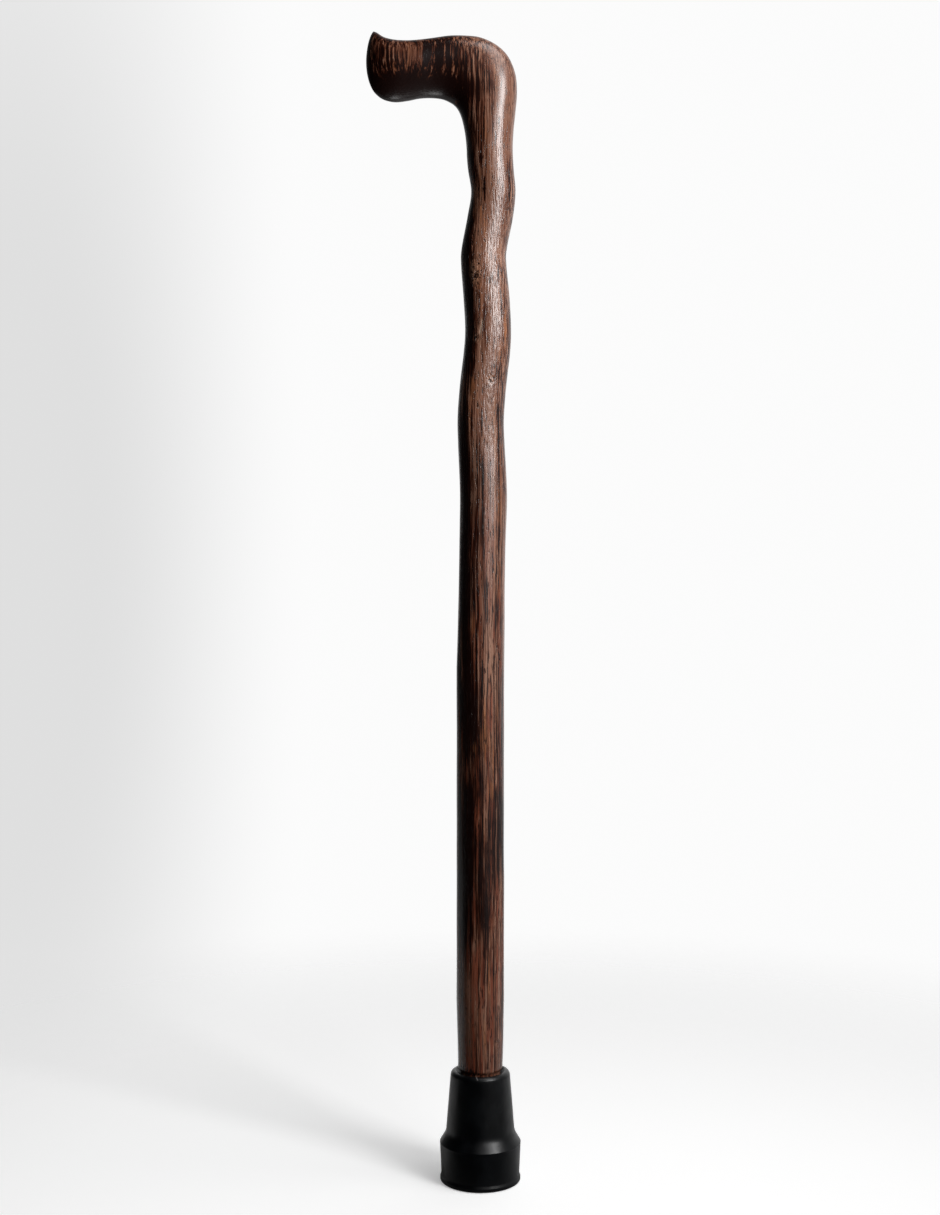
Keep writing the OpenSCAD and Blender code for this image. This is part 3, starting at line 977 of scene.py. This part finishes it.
def rubber_nick(s, place):
    """How strongly the pale nick covers a point."""
    x, y, z = s.split(s.vector("SUBTRACT", place, NICK_AT))
    across = s.math("ABSOLUTE", s.math("MULTIPLY_ADD", z, NICK_LEAN, x))
    along = s.math("MAXIMUM", s.math("ABSOLUTE", z), s.math("MULTIPLY", s.math("ABSOLUTE", y), 0.5))
    return s.math("MULTIPLY", s.ramp(across, *NICK_HALF_W), s.ramp(along, *NICK_HALF_L))


def rubber_material():
    """Black rubber with faint clouds, and a pale nick in its rim."""
    s = Shader("black_rubber")
    place = s.place()
    cloud = s.noise(place, CLOUDS, detail=3.0)
    bloom = s.ramp(s.noise(place, BLOOMS, detail=2.0), *BLOOM_EDGE)
    colour = s.colours(cloud, [(0.35, RUBBER_DARK), (0.65, RUBBER_LIGHT)])
    colour = s.mix(s.math("MULTIPLY", bloom, BLOOM_MOST), colour, RUBBER_BLOOM)
    colour = s.mix(s.math("MULTIPLY", rubber_nick(s, place), NICK_MOST), colour, NICK_PALE)
    grit = s.noise(place, GRIT, detail=2.0)
    soft = s.noise(place, SWELLS, detail=1.0)
    height = s.math("ADD", s.math("MULTIPLY", grit, GRIT_HEIGHT), s.math("MULTIPLY", soft, SWELL_HEIGHT))
    return s.surface({
        "Base Color": colour,
        "Roughness": s.ramp(cloud, *ROUGH_SPAN, *RUBBER_ROUGH),
        "Normal": s.bump(height, RUBBER_RELIEF, 0.5),
        "IOR": RUBBER_IOR,
    })


# Colours of the zinc on the washer, the size of its spangles, and its roughness and depth of relief
ZINC_DARK = (0.42, 0.43, 0.45)
ZINC_LIGHT = (0.62, 0.63, 0.64)
SPANGLES = (1.6, 1.6, 1.6)
ZINC_ROUGH = (0.28, 0.42)
ZINC_RELIEF = 0.03


def steel_material():
    """Steel with a spangled coat of zinc."""
    s = Shader("plated_steel")
    place = s.place()
    spangle = s.noise(place, SPANGLES, detail=3.0)
    colour = s.colours(spangle, [(0.35, ZINC_DARK), (0.65, ZINC_LIGHT)])
    return s.surface({
        "Base Color": colour,
        "Metallic": 1.0,
        "Roughness": s.ramp(spangle, *ROUGH_SPAN, *ZINC_ROUGH),
        "Normal": s.bump(spangle, ZINC_RELIEF, 0.5),
    })


# The floor: how bright it is by itself for the camera, its own colour, and where it fades out
FLOOR_GLOW = 0.384
FLOOR_SEEN = 0.90
FLOOR_R = 1.6
FLOOR_FADE = (0.25, 0.95)
FLOOR_Z = -0.0004
# What the floor gives back to the cane: little in front of it, more on the right, most behind it
LEFT_BOUNCE = 0.02
RIGHT_BOUNCE = 0.25
BEHIND_BOUNCE = 0.80
# Where that changes, from x to x and from y to y
BOUNCE_SIDE = (-0.02, 0.20)
BOUNCE_BACK = (-0.06, 0.06)
# The room's light on the cane: a white sweep behind it, brighter on the right, and a dark room in front.
# The sweep and the room brighten with the X of a direction, and the room gives way to the sweep with its Y.
SWEEP_LEFT = 0.07
SWEEP_RIGHT = 0.74
ROOM_LIGHT = 0.004
ROOM_RIGHT = 0.22
SWEEP_SIDE = (-0.6, 0.6)
ROOM_SIDE = (0.2, 0.7)
ROOM_TO_SWEEP = (0.20, 0.70)
# Gloss sees the white of the camera's picture where its direction lies this near to straight behind
STRAIGHT_BEHIND = (0.80, 0.95)
# What the camera sees: white, with a soft grey patch at the left, a painted shadow on the backdrop
WHITE_SEEN = 0.97
GREY_SEEN = 0.74
GREY_AT = (-0.30, 0.03)
GREY_EDGE = (0.05, 0.20)
GREY_TALL = 0.30


def make_floor():
    """A white floor that fades out far from the cane, and gives the cane little light in front."""
    mesh = bpy.data.meshes.new("floor")
    corners = [(FLOOR_R * x, FLOOR_R * y, FLOOR_Z) for x, y in ((-1, -1), (1, -1), (1, 1), (-1, 1))]
    mesh.from_pydata(corners, [], [(0, 1, 2, 3)])
    floor = bpy.data.objects.new("floor", mesh)
    bpy.context.scene.collection.objects.link(floor)

    s = Shader("studio_floor")
    coords = s.add("ShaderNodeTexCoord")
    flat = s.vector("MULTIPLY", coords.outputs["Object"], (1, 1, 0))
    far = s.add("ShaderNodeVectorMath", {0: flat}, operation="LENGTH").outputs["Value"]
    fade = s.ramp(far, *FLOOR_FADE)
    seen = s.add("ShaderNodeBsdfDiffuse", {"Color": (FLOOR_SEEN, FLOOR_SEEN, FLOOR_SEEN, 1)})
    glow = s.add("ShaderNodeEmission", {"Strength": FLOOR_GLOW})
    white = s.add("ShaderNodeAddShader", {0: seen.outputs[0], 1: glow.outputs[0]})
    clear = s.add("ShaderNodeBsdfTransparent")
    shown = s.add("ShaderNodeMixShader", {0: fade, 1: white.outputs[0], 2: clear.outputs[0]})
    right, back = s.split(flat)[0:2]
    front = s.ramp(right, *BOUNCE_SIDE, LEFT_BOUNCE, RIGHT_BOUNCE)
    share = s.ramp(back, *BOUNCE_BACK, front, BEHIND_BOUNCE)
    pale = s.add("ShaderNodeCombineColor", {0: share, 1: share, 2: share}).outputs["Color"]
    bounce = s.add("ShaderNodeBsdfDiffuse", {"Color": pale})
    seen_here = s.looked_at(s.ramp(s.math("DIVIDE", back, far), *STRAIGHT_BEHIND))
    both = s.add("ShaderNodeMixShader", {0: seen_here, 1: bounce.outputs[0], 2: shown.outputs[0]})
    s.add("ShaderNodeOutputMaterial", {"Surface": both.outputs[0]})
    mesh.materials.append(s.material)


def make_world():
    """White for the camera, with a painted shadow at the left. For the object, a white sweep behind and a
    dark room in front.
    """
    world = bpy.data.worlds.new("studio")
    bpy.context.scene.world = world
    s = Shader(world)
    x, y, z = s.split(s.add("ShaderNodeTexCoord").outputs["Generated"])
    sweep = s.ramp(x, *SWEEP_SIDE, SWEEP_LEFT, SWEEP_RIGHT)
    room = s.ramp(x, *ROOM_SIDE, ROOM_LIGHT, ROOM_RIGHT)
    room = s.ramp(y, *ROOM_TO_SWEEP, room, sweep)
    side = s.math("SUBTRACT", x, s.math("MULTIPLY", y, GREY_AT[0]))
    rise = s.math("MULTIPLY", s.math("SUBTRACT", z, s.math("MULTIPLY", y, GREY_AT[1])), GREY_TALL)
    away = s.math("SQRT", s.math("ADD", s.math("MULTIPLY", side, side), s.math("MULTIPLY", rise, rise)))
    seen = s.ramp(away, *GREY_EDGE, GREY_SEEN, WHITE_SEEN)
    lit = s.add("ShaderNodeBackground", {"Color": (1, 1, 1, 1), "Strength": room})
    shown = s.add("ShaderNodeBackground", {"Color": (1, 1, 1, 1), "Strength": seen})
    seen_here = s.looked_at(s.ramp(y, *STRAIGHT_BEHIND))
    both = s.add("ShaderNodeMixShader", {0: seen_here, 1: lit.outputs[0], 2: shown.outputs[0]})
    s.add("ShaderNodeOutputWorld", {"Surface": both.outputs[0]})


# The lamps. Each row: name, place, what it is aimed at, width, height, spread in degrees and watts.
# The softbox lights the cane from the front right, the window from beside the camera, and the overhead
# from above the right. The low card lights the grip's underside.
LAMPS = [
    ("softbox", (0.98, -0.95, 1.18), (0, 0, 0.75), 0.52, 0.95, 95, 6.6),
    ("window", (0.55, -1.22, 0.92), (0, 0, 0.65), 0.32, 0.45, 70, 0.55),
    ("overhead", (0.70, -0.35, 1.80), (0, 0, 0), 0.92, 0.92, 80, 2.0),
    ("low_card", (-0.16, -0.19, 0.05), (-0.05, 0, 0.80), 0.22, 0.22, 40, 0.045),
]


def make_lamp(name, place, target, width, height, spread, watts):
    """A softbox whose light leaves within a cone of the given spread, in degrees."""
    data = bpy.data.lights.new(name, "AREA")
    data.shape = "RECTANGLE"
    data.size = width
    data.size_y = height
    data.spread = math.radians(spread)
    data.energy = watts
    lamp = bpy.data.objects.new(name, data)
    lamp.location = place
    lamp.rotation_euler = (Vector(target) - Vector(place)).to_track_quat("-Z", "Y").to_euler()
    lamp.visible_camera = False
    bpy.context.scene.collection.objects.link(lamp)


def make_camera():
    """A level camera, so that uprights stay upright."""
    data = bpy.data.cameras.new("camera")
    data.sensor_width = SENSOR_MM
    data.lens = FOCAL_PX * SENSOR_MM / max(IMAGE_W, IMAGE_H)
    camera = bpy.data.objects.new("camera", data)
    camera.location = CAMERA_AT
    camera.rotation_euler = (math.radians(90), 0, 0)
    bpy.context.scene.collection.objects.link(camera)
    bpy.context.scene.camera = camera


def dress(piece, body, node, material):
    """Gives a piece its material, and puts it on its body in place of a node."""
    piece.data.materials.clear()
    piece.data.materials.append(material)
    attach(piece, body)
    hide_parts(node)


make_camera()
make_floor()
make_world()
for lamp in LAMPS:
    make_lamp(*lamp)

dress(make_stick(), "stick", "wooden_stick", wood_material())
dress(make_tip(), "tip", "rubber_tip", rubber_material())
# The washer keeps its own solid, and only gets its material
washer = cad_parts["tip_washer"]
washer.data.materials.clear()
washer.data.materials.append(steel_material())

bpy.context.scene.view_settings.view_transform = "Standard"
